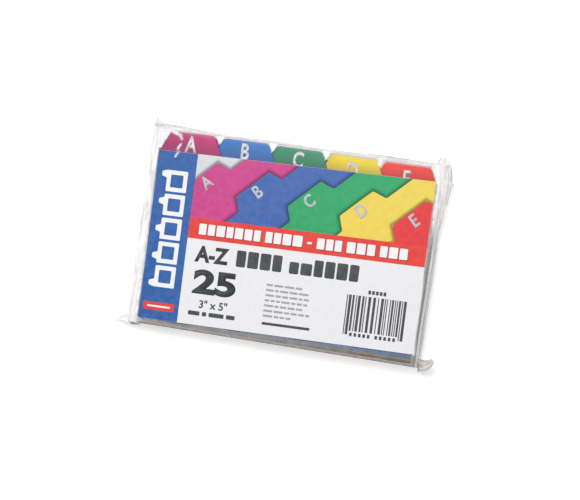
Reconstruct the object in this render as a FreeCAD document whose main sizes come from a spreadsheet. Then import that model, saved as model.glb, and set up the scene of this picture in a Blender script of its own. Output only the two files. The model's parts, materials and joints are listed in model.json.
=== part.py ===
"""A shrink-wrapped pack of twenty-five A to Z card guides, lying on its back.

The guides are sheets of coloured polypropylene with a fifth-cut tab each. They are stacked with A in
front, under one printed label card, inside a centre-folded sheet of clear shrink film. The film is folded
at the foot of the pack and sealed along its left end, its right end and its head, and a stiff ear is left
at each corner.

Millimetres. X runs along the long side of the cards, Y towards the tabs and Z up, from the back film to
the front. The origin is on the surface that the pack lies on, below the centre of the cards' bodies.
"""

import FreeCAD, Part
import math
import os

import Sketcher

# Each driving size: its name in the sheet, its value and what it is.
SIZES = [
    ("card_width", 127.0, "a guide's long side, five inches"),
    ("card_height", 76.2, "a guide's body without its tab, three inches"),
    ("card_corner_radius", 1.5, "rounding of a guide's four outer corners"),
    ("guide_thickness", 0.45, "one polypropylene sheet"),
    ("layer_gap", 0.05, "air between any two layers of the stack"),
    ("tab_height", 8.9, "how far a tab stands above the body"),
    ("tab_top_width", 20.6, "a tab's straight top edge before its corners are rounded"),
    ("tab_side_slope", 25.0, "degrees that a tab's sides lean in from upright"),
    ("tab_corner_radius", 2.4, "rounding of a tab's two top corners"),
    ("tab_root_radius", 1.2, "rounding where a tab's side meets its shoulder"),
    ("label_width", 127.0, "the printed card's long side"),
    ("label_height", 76.2, "the printed card's short side"),
    ("label_thickness", 0.3, "the printed card's board"),
    ("label_turn", 1.36, "degrees that the label has turned in the loose film"),
    ("label_shift", 0.1, "how far the label has moved along X"),
    ("label_lift", 1.4, "how far the label has moved towards the tabs"),
    ("follow_share", 0.4, "how much of the move in front of it each guide follows"),
    ("deck_lean", 2.1, "how much nearer the tabs the front guide lies than the back one"),
    ("shuffle", 0.2, "how far the other guides lie out of line along X"),
    ("film_thickness", 0.1, "the shrunk film"),
    ("left_slack", 2.4, "room beside the contents at the left, level with the panels"),
    ("right_slack", 0.3, "room beside the contents at the right, level with the panels"),
    ("head_slack", 0.3, "room above the tabs, level with the panels"),
    ("foot_slack", 0.5, "room below the contents, level with the panels"),
    ("left_bulge", 2.2, "how much further out the film is at the left seam"),
    ("end_bulge", 0.5, "how much further out the film is at the right and head seams"),
    ("seam_width", 0.6, "the sealed strip outside the film's walls"),
    ("seam_thickness", 0.3, "the sealed strip's two leaves and its bead"),
    ("ear_thickness", 0.6, "the gathered film of an ear"),
    ("ear_clearance", 0.4, "the flexible film between a corner of the seams and an ear"),
]

# The twenty-five divisions, front to back, in rows of five tabs.
DIVISIONS = [
    ("a", "b", "c", "d", "e"),
    ("f", "g", "h", "i", "j"),
    ("k", "l", "m", "mc", "n"),
    ("o", "p", "q", "r", "s"),
    ("t", "u", "v", "w", "xyz"),
]
TABS_ACROSS = len(DIVISIONS[0])
GUIDE_COUNT = TABS_ACROSS * len(DIVISIONS)
SHUFFLE_STEP = 137.5  # degrees between one guide and the next, so that no two neighbours line up

# Each ear: its side and end, the way it points in degrees from +X, its length and its widths at root and
# tip.
EARS = {
    "film_ear_head_left": ("left", "head", 100.0, 2.6, 5.0, 1.4),
    "film_ear_head_right": ("right", "head", 32.0, 3.4, 6.0, 4.0),
    "film_ear_foot_left": ("left", "foot", 186.0, 4.4, 4.0, 1.2),
    "film_ear_foot_right": ("right", "foot", 8.0, 6.0, 4.0, 2.4),
}

# Places that several pieces share, as expressions in the sheet's sizes.
TAB_RUN = "Sizes.tab_height * tan(Sizes.tab_side_slope)"
TAB_ROOT = f"(Sizes.tab_top_width + 2 * {TAB_RUN})"
GUIDE_PITCH = "(Sizes.guide_thickness + Sizes.layer_gap)"
STACK_FOOT = "(Sizes.film_thickness + Sizes.layer_gap)"
LABEL_FOOT = f"({STACK_FOOT} + {GUIDE_COUNT} * {GUIDE_PITCH})"
WRAP_TOP = f"({LABEL_FOOT} + Sizes.label_thickness + {STACK_FOOT})"
SEAM_LEVEL = f"({WRAP_TOP} / 2)"
HALF_CARD = "Sizes.card_width / 2"
CARD_FOOT = "Sizes.card_height / 2"
CARD_HEAD = "(Sizes.card_height / 2 + Sizes.tab_height)"
FRONT_LIFT = "(Sizes.label_lift + Sizes.deck_lean / 2)"


def turned_reach(first, second):
    """Half the room that a turned rectangle needs along its first side."""
    return f"(Sizes.{first} / 2 * cos(Sizes.label_turn) + Sizes.{second} / 2 * sin(abs(Sizes.label_turn)))"


# How far the contents reach on each side, the film's inner walls level with its panels, and how much
# further out each wall is at the seams. The label and the front guide have turned together, so both count.
SIDE_REACH = (
    f"(max({turned_reach('card_width', 'card_height')}; {turned_reach('label_width', 'label_height')})"
    " + abs(Sizes.label_shift) + Sizes.shuffle)"
)
LABEL_REACH = turned_reach("label_height", "label_width")
HEAD_REACH = f"(max({CARD_HEAD}; {LABEL_REACH}) + {FRONT_LIFT})"
FOOT_REACH = f"max({CARD_FOOT} + Sizes.deck_lean / 2; {LABEL_REACH} - {FRONT_LIFT})"
PANEL = {
    "left": f"({SIDE_REACH} + Sizes.left_slack)",
    "right": f"({SIDE_REACH} + Sizes.right_slack)",
    "head": f"({HEAD_REACH} + Sizes.head_slack)",
    "foot": f"({FOOT_REACH} + Sizes.foot_slack)",
}
BULGE = {"left": "Sizes.left_bulge", "right": "Sizes.end_bulge", "head": "Sizes.end_bulge", "foot": "0"}
OUTER_SEAM = {side: f"({PANEL[side]} + {BULGE[side]} + Sizes.film_thickness)" for side in PANEL}
SEALED = {"left": "Sizes.seam_width", "right": "Sizes.seam_width", "head": "Sizes.seam_width", "foot": "0"}


def make_sheet(doc):
    """The spreadsheet that holds every driving size."""
    sheet = doc.addObject("Spreadsheet::Sheet", "Sizes")
    for row, (alias, value, meaning) in enumerate(SIZES, start=1):
        sheet.set(f"A{row}", alias)
        sheet.set(f"B{row}", str(value))
        sheet.setAlias(f"B{row}", alias)
        sheet.set(f"C{row}", meaning)
    doc.recompute()
    return sheet


def new_body(doc, label):
    """An empty body whose label names its file."""
    body = doc.addObject("PartDesign::Body", label)
    body.Label = label
    return body


def origin_plane(body, role):
    """One of a body's own origin planes."""
    return next(item for item in body.Origin.OriginFeatures if item.Role == role)


def outline(body, name, corners, level="0"):
    """A closed outline of straight lines, parallel to XY, with each corner held by two expressions."""
    sketch = body.newObject("Sketcher::SketchObject", name)
    sketch.AttachmentSupport = [(origin_plane(body, "XY_Plane"), "")]
    sketch.MapMode = "FlatFace"
    sketch.setExpression("AttachmentOffset.Base.z", level)
    points = [FreeCAD.Vector(*(sketch.evalExpression(place) for place in corner), 0) for corner in corners]
    count = len(points)
    for index, point in enumerate(points):
        sketch.addGeometry(Part.LineSegment(point, points[(index + 1) % count]), False)
    for index in range(count):
        sketch.addConstraint(Sketcher.Constraint("Coincident", index, 2, (index + 1) % count, 1))
    for index, corner in enumerate(corners):
        for kind, place, value in zip(("DistanceX", "DistanceY"), corner, points[index]):
            datum = sketch.addConstraint(Sketcher.Constraint(kind, -1, 1, index, 1, value))
            sketch.setExpression(f"Constraints[{datum}]", place)
    return sketch


def pad(body, sketch, name, thickness, midplane=False):
    """Thickens an outline along +Z, or both ways from its plane."""
    feature = body.newObject("PartDesign::Pad", name)
    feature.Profile = sketch
    feature.Midplane = midplane
    feature.setExpression("Length", thickness)
    sketch.Visibility = False
    return feature


def upright_edges(shape, places):
    """The names of a plate's edges along Z at these places in its outline."""
    names = []
    for number, edge in enumerate(shape.Edges, start=1):
        first, last = edge.Vertexes[0].Point, edge.Vertexes[-1].Point
        upright = math.hypot(first.x - last.x, first.y - last.y) < 1e-6
        if upright and any(math.hypot(first.x - x, first.y - y) < 1e-3 for x, y in places):
            names.append(f"Edge{number}")
    return names


def round_corners(body, name, corners, radius):
    """Rounds the upright edges of a body's plate at these corners of its outline."""
    places = [tuple(float(body.evalExpression(place)) for place in corner) for corner in corners]
    base = body.Tip
    edges = upright_edges(base.Shape, places)
    if len(edges) != len(corners):
        raise RuntimeError(f"{body.Label}: {len(edges)} of the {len(corners)} corners to round were found")
    feature = body.newObject("PartDesign::Fillet", name)
    feature.Base = (base, edges)
    feature.setExpression("Radius", radius)
    return feature


def tab_corners(column):
    """A tab's four corners: its left root, its two top corners and its right root."""
    left_root = f"(-{HALF_CARD} + {column} * (Sizes.card_width - {TAB_ROOT}) / {TABS_ACROSS - 1})"
    left, right = f"{left_root} + {TAB_RUN}", f"{left_root} + {TAB_RUN} + Sizes.tab_top_width"
    return (
        (left_root, CARD_FOOT),
        (left, CARD_HEAD),
        (right, CARD_HEAD),
        (f"{left_root} + {TAB_ROOT}", CARD_FOOT),
    )


def make_guide(doc, label, column, depth):
    """One guide: a sheet with a tab in one of the five columns, depth layers behind the front one."""
    body = new_body(doc, label)
    left_root, left_top, right_top, right_root = tab_corners(column)
    first, last = column == 0, column == TABS_ACROSS - 1
    feet = [(f"-{HALF_CARD}", f"-{CARD_FOOT}"), (HALF_CARD, f"-{CARD_FOOT}")]
    right_shoulder = [] if last else [(HALF_CARD, CARD_FOOT)]
    left_shoulder = [] if first else [(f"-{HALF_CARD}", CARD_FOOT)]
    corners = feet + right_shoulder + [right_root, right_top, left_top, left_root] + left_shoulder
    sketch = outline(body, f"{label}_outline", corners)
    pad(body, sketch, f"{label}_sheet", "Sizes.guide_thickness")
    doc.recompute()
    roots = ([] if last else [right_root]) + ([] if first else [left_root])
    round_corners(body, f"{label}_tab_corners", [left_top, right_top], "Sizes.tab_corner_radius")
    doc.recompute()
    round_corners(body, f"{label}_tab_roots", roots, "Sizes.tab_root_radius")
    doc.recompute()
    outer = feet + right_shoulder + left_shoulder
    round_corners(body, f"{label}_outer_corners", outer, "Sizes.card_corner_radius")
    follow = f"Sizes.follow_share ^ {depth}"
    stray = f"Sizes.shuffle * sin({depth * SHUFFLE_STEP}) * (1 - {follow})"
    place(
        body,
        x=f"Sizes.label_shift * {follow} + {stray}",
        y=f"Sizes.label_lift * {follow} + Sizes.deck_lean * {0.5 - depth / (GUIDE_COUNT - 1)}",
        z=f"{STACK_FOOT} + {GUIDE_COUNT - 1 - depth} * {GUIDE_PITCH}",
        turn=f"Sizes.label_turn * {follow}",
    )
    return body


def place(item, x="0", y="0", z="0", turn="0"):
    """Places a piece by expressions, turned about the upright through its own origin."""
    item.Placement = FreeCAD.Placement(FreeCAD.Vector(), FreeCAD.Rotation(FreeCAD.Vector(0, 0, 1), 1))
    item.setExpression("Placement.Base.x", x)
    item.setExpression("Placement.Base.y", y)
    item.setExpression("Placement.Base.z", z)
    item.setExpression("Placement.Rotation.Angle", turn)


def rectangle(left, right, foot, head):
    """The corners of a rectangle from its distances to the origin on each side."""
    return [(f"-{left}", f"-{foot}"), (right, f"-{foot}"), (right, head), (f"-{left}", head)]


def make_label(doc):
    """The printed card in front of the guides."""
    body = new_body(doc, "label_card")
    half_width, half_height = "Sizes.label_width / 2", "Sizes.label_height / 2"
    corners = rectangle(half_width, half_width, half_height, half_height)
    pad(body, outline(body, "label_outline", corners), "label_board", "Sizes.label_thickness")
    place(body, x="Sizes.label_shift", y=FRONT_LIFT, z=LABEL_FOOT, turn="Sizes.label_turn")
    return body


def make_leaf(doc, label, panel_level, cavity_level):
    """One leaf of the film, shrunk to a shallow tray: a flat panel, and walls that lean out to the seams."""
    body = new_body(doc, label)

    def walls(extra, bulging):
        """The film's inner walls moved out by extra, level with the panel or bulging at the seams."""
        reaches = []
        for side in ("left", "right", "foot", "head"):
            bulge = BULGE[side] if bulging else "0"
            reaches.append(f"({PANEL[side]} + {extra} + {bulge})")
        return rectangle(*reaches)

    lofts = (
        ("Additive", "Sizes.film_thickness", panel_level),
        ("Subtractive", "0", cavity_level),
    )
    for kind, extra, level in lofts:
        rim = outline(body, f"{label}_{kind}_rim", walls(extra, True), SEAM_LEVEL)
        panel = outline(body, f"{label}_{kind}_panel", walls(extra, False), level)
        feature = body.newObject(f"PartDesign::{kind}Loft", f"{label}_{kind}_loft")
        feature.Profile = rim
        feature.Sections = [panel]
        feature.Ruled = True
        doc.recompute()
    return body


def make_seam(doc, label, side):
    """The sealed strip along one side of the film, where its two leaves are welded and trimmed."""
    strip = doc.addObject("Part::Box", label)
    strip.Label = label
    strip.setExpression("Height", "Sizes.seam_thickness")
    z = f"{SEAM_LEVEL} - Sizes.seam_thickness / 2"
    if side == "head":
        strip.setExpression("Length", f"{OUTER_SEAM['left']} + {OUTER_SEAM['right']}")
        strip.setExpression("Width", "Sizes.seam_width")
        place(strip, x=f"-{OUTER_SEAM['left']}", y=OUTER_SEAM["head"], z=z)
    else:
        strip.setExpression("Length", "Sizes.seam_width")
        strip.setExpression("Width", f"{OUTER_SEAM['foot']} + {OUTER_SEAM['head']}")
        x = OUTER_SEAM["right"] if side == "right" else f"-{OUTER_SEAM['left']} - Sizes.seam_width"
        place(strip, x=x, y=f"-{OUTER_SEAM['foot']}", z=z)
    return strip


def make_ear(doc, label, side, end, heading, length, root_width, tip_width):
    """A corner's spare film, gathered to a stiff tapering ear that points away from the pack."""
    body = new_body(doc, label)
    near, far = "Sizes.ear_clearance", f"Sizes.ear_clearance + {length}"
    corners = [
        (near, f"-{root_width / 2}"),
        (far, f"-{tip_width / 2}"),
        (far, f"{tip_width / 2}"),
        (near, f"{root_width / 2}"),
    ]
    profile = outline(body, f"{label}_outline", corners)
    pad(body, profile, f"{label}_film", "Sizes.ear_thickness", midplane=True)
    across = {"left": -1, "right": 1}[side]
    along = {"foot": -1, "head": 1}[end]
    place(
        body,
        x=f"{across} * ({OUTER_SEAM[side]} + {SEALED[side]})",
        y=f"{along} * ({OUTER_SEAM[end]} + {SEALED[end]})",
        z=SEAM_LEVEL,
        turn=str(heading),
    )
    return body


def check(doc, pieces):
    """Stops before anything is written if a feature failed or a piece has no sound shape."""
    failed = [item.Name for item in doc.Objects if {"Invalid", "Error"} & set(item.State)]
    unsound = [piece.Label for piece in pieces if piece.Shape.isNull() or not piece.Shape.isValid()]
    if failed or unsound:
        raise RuntimeError(f"failed features: {failed}; unsound pieces: {unsound}")


def main():
    doc = FreeCAD.newDocument("card_guide_pack")
    make_sheet(doc)
    pieces = [make_leaf(doc, "film_front_leaf", WRAP_TOP, f"{WRAP_TOP} - Sizes.film_thickness")]
    pieces.append(make_leaf(doc, "film_back_leaf", "0", "Sizes.film_thickness"))
    for side in ("left", "right", "head"):
        pieces.append(make_seam(doc, f"film_seam_{side}", side))
    for label, ear in EARS.items():
        pieces.append(make_ear(doc, label, *ear))
    pieces.append(make_label(doc))
    for row, names in enumerate(DIVISIONS):
        for column, name in enumerate(names):
            pieces.append(make_guide(doc, f"guide_{name}", column, row * TABS_ACROSS + column))
    doc.recompute()
    check(doc, pieces)
    os.makedirs("parts", exist_ok=True)
    for piece in pieces:
        piece.Shape.exportStep(f"parts/{piece.Label}.step")
        print(piece.Label, "solids", len(piece.Shape.Solids), "mm3", round(piece.Shape.Volume, 2))


main()
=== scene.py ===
"""The looks of a shrink-wrapped pack of A to Z card guides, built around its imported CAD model."""

import json
import math
import random

import bmesh
import bpy
from mathutils import Matrix, Vector, noise


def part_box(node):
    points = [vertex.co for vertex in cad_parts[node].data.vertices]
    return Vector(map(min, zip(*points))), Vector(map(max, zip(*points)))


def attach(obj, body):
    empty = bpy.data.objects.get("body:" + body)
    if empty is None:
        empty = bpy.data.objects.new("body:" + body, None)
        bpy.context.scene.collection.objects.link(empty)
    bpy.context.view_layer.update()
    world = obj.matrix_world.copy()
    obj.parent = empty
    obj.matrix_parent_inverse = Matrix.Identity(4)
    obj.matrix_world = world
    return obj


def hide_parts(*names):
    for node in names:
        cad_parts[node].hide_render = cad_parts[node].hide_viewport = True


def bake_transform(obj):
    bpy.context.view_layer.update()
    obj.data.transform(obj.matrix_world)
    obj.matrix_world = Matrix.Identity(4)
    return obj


bl_info = {
    "name": "Card Guide Pack",
    "version": (1, 0, 0),
    "blender": (4, 5, 0),
    "location": "3D View > Sidebar > Guide Pack",
    "description": "Prints, letters, film and stage for a wrapped pack of card guides",
    "category": "Object",
}

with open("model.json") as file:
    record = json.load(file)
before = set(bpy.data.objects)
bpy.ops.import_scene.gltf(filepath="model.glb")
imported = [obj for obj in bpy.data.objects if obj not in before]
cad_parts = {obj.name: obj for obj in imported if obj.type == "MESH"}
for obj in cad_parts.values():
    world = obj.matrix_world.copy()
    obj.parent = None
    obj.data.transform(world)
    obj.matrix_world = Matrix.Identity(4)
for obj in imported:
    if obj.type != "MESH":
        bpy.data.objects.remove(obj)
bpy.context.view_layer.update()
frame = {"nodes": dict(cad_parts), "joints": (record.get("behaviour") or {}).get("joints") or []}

MM = 0.001
INK_STEP = 0.004 * MM  # how far one printed layer stands above the next
INK_ROOT = 0.05 * MM  # how far a printed layer reaches down into the board
TAB_SLOPE = math.tan(math.radians(25.0))  # how much wider a tab gets on each side, for each unit further down
DIVISIONS = "a b c d e f g h i j k l m mc n o p q r s t u v w xyz".split()
COLOUR_NAMES = ("magenta", "blue", "green", "yellow", "red")
TABS_ACROSS = len(COLOUR_NAMES)


# ---------------------------------------------------------------- settings


def length(name, description, default):
    """A length in metres, given in millimetres."""
    return bpy.props.FloatProperty(
        name=name, description=description, default=default * MM, precision=5, subtype="DISTANCE", unit="LENGTH"
    )


def angle(name, description, default):
    """An angle in radians, given in degrees."""
    return bpy.props.FloatProperty(
        name=name, description=description, default=math.radians(default), subtype="ANGLE", unit="ROTATION"
    )


def share(name, description, default):
    """A number from 0 to 1."""
    return bpy.props.FloatProperty(
        name=name, description=description, default=default, min=0.0, max=1.0, subtype="FACTOR"
    )


def number(name, description, default):
    """A plain number."""
    return bpy.props.FloatProperty(name=name, description=description, default=default)


def colour(name, description, default):
    """A colour in linear light."""
    return bpy.props.FloatVectorProperty(
        name=name, description=description, default=default, size=3, min=0.0, max=1.0, subtype="COLOR"
    )


class GuideSettings(bpy.types.PropertyGroup):
    """The coloured guides and the foil letters on their tabs."""

    letter_height: length("Letter height", "Height of a tab's foil capital", 7.5)
    letter_drop: length("Letter drop", "From a tab's top edge down to its letter", 1.2)
    letter_sink: length("Letter sink", "How much lower the letters of the yellow and red tabs are stamped", 1.2)
    letter_narrowing: share("Letter narrowing", "A letter's width as a share of its plain width", 0.72)
    letter_weight: length("Letter weight", "How much bolder each stroke is than the plain font", 0.7)
    foil_thickness: length("Foil thickness", "How far the foil stands above its sheet", 0.02)
    foil: colour("Foil", "The letters' silver", (0.80, 0.81, 0.82))
    magenta: colour("Magenta", "First tabs", (0.50, 0.012, 0.155))
    blue: colour("Blue", "Second tabs", (0.010, 0.145, 0.49))
    green: colour("Green", "Third tabs", (0.004, 0.245, 0.115))
    yellow: colour("Yellow", "Fourth tabs", (0.82, 0.62, 0.006))
    red: colour("Red", "Fifth tabs", (0.86, 0.012, 0.006))
    # Painted light on the tabs: a painted highlight pales the top edge, and painted shade darkens the part near the
    # label.
    painted_edge_highlight: share("Edge glow", "How much paler a tab is at its lit top edge", 0.7)
    tab_shade: share("Tab shade", "How much darker a tab is where it goes under the label", 0.55)
    grain_size: length("Grain size", "Spacing of the sheet's moulded grain", 0.5)


class LabelSettings(bpy.types.PropertyGroup):
    """The printed card."""

    side_panel: length("Side panel", "Width of the blue panel at the left", 18.4)
    art_foot: length("Picture foot", "From the card's head down to the foot of the picture", 28.6)
    band_foot: length("Band foot", "From the card's head down to the foot of the red band", 37.8)
    art_turn: angle("Picture turn", "How far the pictured guides are turned", 43.0)
    art_step: length("Picture step", "Between one pictured guide and the next, across the card", 23.9)
    art_drop: length("Picture drop", "How much lower each pictured guide is than the one before", 1.45)
    art_shadow: length("Picture shadow", "Width of the soft shadow around a pictured guide", 2.1)
    paper: colour("Board", "Unprinted board", (0.82, 0.82, 0.84))
    panel_blue: colour("Panel blue", "The side panel", (0.014, 0.105, 0.38))
    band_red: colour("Band red", "The band across the middle", (0.77, 0.033, 0.018))
    charcoal: colour("Charcoal", "The large dark print", (0.045, 0.05, 0.06))
    small_grey: colour("Small grey", "The smallest print", (0.36, 0.37, 0.39))
    art_back: colour("Picture backing", "The pale backing behind the pictured guides", (0.66, 0.68, 0.72))
    art_magenta: colour("Pictured magenta", "First pictured guide", (0.585, 0.038, 0.24))
    art_blue: colour("Pictured blue", "Second pictured guide", (0.032, 0.115, 0.41))
    art_green: colour("Pictured green", "Third pictured guide", (0.003, 0.36, 0.118))
    art_yellow: colour("Pictured yellow", "Fourth pictured guide", (0.84, 0.64, 0.075))
    art_red: colour("Pictured red", "Fifth pictured guide", (0.74, 0.018, 0.024))


class FilmSettings(bpy.types.PropertyGroup):
    """The clear shrink film."""

    cell: length("Cell", "Size of the film's mesh cells", 0.66)
    wall_cells: bpy.props.IntProperty(name="Wall cells", description="Cells down each wall", default=10)
    thickness: length("Thickness", "The film's thickness", 0.03)
    ridge: length("Ridge", "Height of the creases in the panels near their edges", 0.12)
    wall_ridge: length("Wall ridge", "Depth of the long creases in the walls", 0.55)
    clear_haze: share("Clear haze", "How milky the tight film is", 0.004)
    tab_haze: share("Tab haze", "How milky the film is over the tabs", 0.005)
    gap_haze: share("Gap haze", "How milky the film is where nothing lies against it", 0.8)
    left_haze: share("Left haze", "How milky the loose wall at the left is", 0.95)
    right_haze: share("Right haze", "How milky the tight wall at the right is", 0.75)
    head_haze: share("Head haze", "How milky the wall past the tabs is", 0.62)
    foot_haze: share("Foot haze", "How milky the fold at the foot is", 0.2)
    ear_haze: share("Ear haze", "How milky the gathered film is", 0.93)
    white: colour("White", "The film's own colour where it is gathered", (0.95, 0.93, 0.915))
    # The grey is painted shade, not the film's own colour: it is mixed in beside the label's right end, down the
    # right wall, along the foot and in the ears.
    grey: colour("Grey", "The film's own colour where it is stretched tight over an edge", (0.2, 0.2, 0.2))


class StageSettings(bpy.types.PropertyGroup):
    """The floor, the lights and the camera."""

    lens: number("Lens", "Focal length in millimetres on a sensor 36 millimetres wide", 124.1)
    distance: length("Distance", "From the camera to the middle of the pack", 893.5)
    lean_right: angle("Lean right", "How far the camera leans from upright towards the pack's right", 12.555)
    lean_head: angle("Lean to head", "How far the camera leans from upright towards the pack's head", 0.12)
    roll: angle("Roll", "How far the camera is rolled", 8.57)
    aim_x: length("Aim X", "Where the camera aims, along X", 0.96)
    aim_y: length("Aim Y", "Where the camera aims, along Y", 3.0)
    floor: colour("Floor", "The pale floor", (0.93, 0.93, 0.93))
    floor_glow: number("Floor glow", "How much light the floor gives off itself", 0.36)
    sky: number("Sky", "Strength of the even light from all round", 0.47)
    key: number("Key", "Power of the large lamp at the head, left", 8.2)
    fill: number("Fill", "Power of the lamp above", 0.6)


def settings(group):
    """One of the scene's groups of settings."""
    return getattr(bpy.context.scene, "guide_pack_" + group)


# ---------------------------------------------------------------- materials


def new_material(name, base, roughness, specular=0.5):
    """A Principled material with its constant values on its own sockets."""
    material = bpy.data.materials.new(name)
    material.use_nodes = True
    shader = material.node_tree.nodes["Principled BSDF"]
    shader.inputs["Base Color"].default_value = (*base, 1.0)
    shader.inputs["Roughness"].default_value = roughness
    shader.inputs["Specular IOR Level"].default_value = specular
    return material, shader


def add_node(material, kind, **values):
    """A node with its named inputs set."""
    node = material.node_tree.nodes.new(kind)
    for key, value in values.items():
        node.inputs[key.replace("_", " ")].default_value = value
    return node


def object_noise(material, scale, detail=3.0, stretch=(1.0, 1.0, 1.0)):
    """Noise that is fixed to the piece, at a scale per metre."""
    links = material.node_tree.links
    coordinates = add_node(material, "ShaderNodeTexCoord")
    mapping = add_node(material, "ShaderNodeMapping", Scale=stretch)
    texture = add_node(material, "ShaderNodeTexNoise", Scale=scale, Detail=detail)
    links.new(coordinates.outputs["Object"], mapping.inputs["Vector"])
    links.new(mapping.outputs["Vector"], texture.inputs["Vector"])
    return texture.outputs["Fac"]


def remap(material, value, low, high, to_low, to_high):
    """Maps a range of one value to a range of another, smoothly."""
    node = add_node(material, "ShaderNodeMapRange")
    node.interpolation_type = "SMOOTHSTEP"
    for socket, amount in zip(("From Min", "From Max", "To Min", "To Max"), (low, high, to_low, to_high)):
        node.inputs[socket].default_value = amount
    material.node_tree.links.new(value, node.inputs["Value"])
    return node.outputs["Result"]


def mix_colours(material, factor, first, second):
    """A mix of two colours, or of a colour and another node's colour."""
    node = add_node(material, "ShaderNodeMix")
    node.data_type = "RGBA"
    links = material.node_tree.links
    links.new(factor, node.inputs["Factor"])
    for socket, value in (("A", first), ("B", second)):
        target = next(item for item in node.inputs if item.name == socket and item.type == "RGBA")
        if isinstance(value, bpy.types.NodeSocket):
            links.new(value, target)
        else:
            target.default_value = (*value, 1.0)
    return next(item for item in node.outputs if item.type == "RGBA")


def add_bump(material, shader, height, distance):
    """A bump of this depth in metres."""
    bump = add_node(material, "ShaderNodeBump", Strength=1.0, Distance=distance)
    material.node_tree.links.new(height, bump.inputs["Height"])
    material.node_tree.links.new(bump.outputs["Normal"], shader.inputs["Normal"])


def darker(base, amount):
    """A colour with its light cut to a share."""
    return tuple(channel * amount for channel in base)


def paler(base, amount):
    """A colour moved towards white by a share."""
    return tuple(channel + (1.0 - channel) * amount for channel in base)


def mottle(material, shader, pattern, shades, roughness=None, low=0.3):
    """Lets a pattern vary the colour between two shades, and the roughness between two values."""
    links = material.node_tree.links
    share_of_second = remap(material, pattern, low, 1.0 - low, 0.0, 1.0)
    links.new(mix_colours(material, share_of_second, *shades), shader.inputs["Base Color"])
    if roughness:
        links.new(remap(material, pattern, 0.3, 0.7, *roughness), shader.inputs["Roughness"])


def poly_material(name, base, head):
    """Polypropylene sheet: a fine moulded grain and cloudy colour, with a painted highlight along its top edge and
    painted shade where it goes under the label.
    """
    guides = settings("guides")
    material, shader = new_material(name, base, 0.32, specular=0.3)
    links = material.node_tree.links
    clouds = object_noise(material, 60.0)
    cloudy = mix_colours(material, remap(material, clouds, 0.3, 0.7, 0.0, 1.0), darker(base, 0.88), base)
    coordinates = add_node(material, "ShaderNodeTexCoord")
    split = add_node(material, "ShaderNodeSeparateXYZ")
    links.new(coordinates.outputs["Object"], split.inputs["Vector"])
    # Painted shade darkens the tab towards the label, and a painted highlight pales its top edge.
    sunk = remap(material, split.outputs["Y"], head - 8.0 * MM, head - 1.5 * MM, guides.tab_shade, 0.0)
    shaded = mix_colours(material, sunk, cloudy, darker(base, 0.4))
    lit = remap(material, split.outputs["Y"], head - 2.0 * MM, head + 0.8 * MM, 0.0, guides.painted_edge_highlight)
    links.new(mix_colours(material, lit, shaded, paler(base, 0.2)), shader.inputs["Base Color"])
    grain = object_noise(material, 1.0 / guides.grain_size, detail=2.0)
    links.new(remap(material, grain, 0.3, 0.7, 0.26, 0.40), shader.inputs["Roughness"])
    add_bump(material, shader, grain, 0.01 * MM)
    return material


def foil_material():
    """Hot-stamped silver foil with a slightly uneven lay."""
    base = settings("guides").foil
    material, shader = new_material("foil_silver", base, 0.42)
    shader.inputs["Metallic"].default_value = 0.15
    wear = object_noise(material, 900.0, detail=4.0)
    mottle(material, shader, wear, (darker(base, 0.86), paler(base, 0.18)), (0.34, 0.52), low=0.35)
    return material


def ink_material(name, base):
    """Litho ink on coated board: a faint mottle in the colour and in the gloss."""
    roughness = 0.38
    material, shader = new_material(name, base, roughness, specular=0.2)
    lay = object_noise(material, 420.0, detail=4.0)
    mottle(material, shader, lay, (darker(base, 0.94), paler(base, 0.025)), (roughness - 0.06, roughness + 0.06))
    return material


def board_material():
    """The bare board of the label: coated, with a faint fibre."""
    base = settings("label").paper
    material, shader = new_material("label_board", base, 0.45, specular=0.2)
    fibre = object_noise(material, 700.0, detail=5.0, stretch=(1.0, 0.35, 1.0))
    mottle(material, shader, fibre, (darker(base, 0.975), paler(base, 0.05)))
    add_bump(material, shader, fibre, 0.006 * MM)
    return material


def shadow_ink_material(name, over):
    """A printed soft shadow: nearly black at the pictured guide's edge, fading to the ink that it lies on."""
    material, shader = new_material(name, over, 0.38, specular=0.2)
    links = material.node_tree.links
    fade = add_node(material, "ShaderNodeAttribute")
    fade.attribute_name = "fade"
    depth = remap(material, fade.outputs["Fac"], 0.0, 1.0, 0.0, 0.85)
    links.new(mix_colours(material, depth, over, darker(over, 0.16)), shader.inputs["Base Color"])
    return material


def film_material(name):
    """Shrink film: clear where its haze is low, and milky with long glossy creases where its haze is high. Its
    stretch layer mixes in a grey that is painted shade, and its creases carry painted shade.
    """
    film = settings("film")
    material, shader = new_material(name, film.white, 0.16, specular=0.7)
    links = material.node_tree.links
    haze, stretch, lay = (add_node(material, "ShaderNodeAttribute") for _ in range(3))
    haze.attribute_name, stretch.attribute_name, lay.attribute_name = "haze", "stretch", "lay"
    creases = add_node(material, "ShaderNodeTexNoise", Scale=700.0, Detail=5.0, Roughness=0.6)
    links.new(lay.outputs["Vector"], creases.inputs["Vector"])
    streaks = creases.outputs["Fac"]
    alpha = add_node(material, "ShaderNodeMath")
    alpha.operation = "MULTIPLY"
    alpha.use_clamp = True
    links.new(haze.outputs["Fac"], alpha.inputs[0])
    links.new(remap(material, streaks, 0.32, 0.68, 0.72, 1.28), alpha.inputs[1])
    links.new(alpha.outputs["Value"], shader.inputs["Alpha"])
    # The stretch layer mixes the white towards the grey, which is painted shade.
    painted_shade_tone = mix_colours(material, stretch.outputs["Fac"], film.white, film.grey)
    shaded = mix_colours(material, remap(material, streaks, 0.34, 0.58, 0.35, 0.0), painted_shade_tone, darker(film.white, 0.74))
    links.new(shaded, shader.inputs["Base Color"])
    links.new(remap(material, streaks, 0.3, 0.7, 0.12, 0.34), shader.inputs["Roughness"])
    add_bump(material, shader, streaks, 0.06 * MM)
    return material


# ---------------------------------------------------------------- mesh helpers


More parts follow.
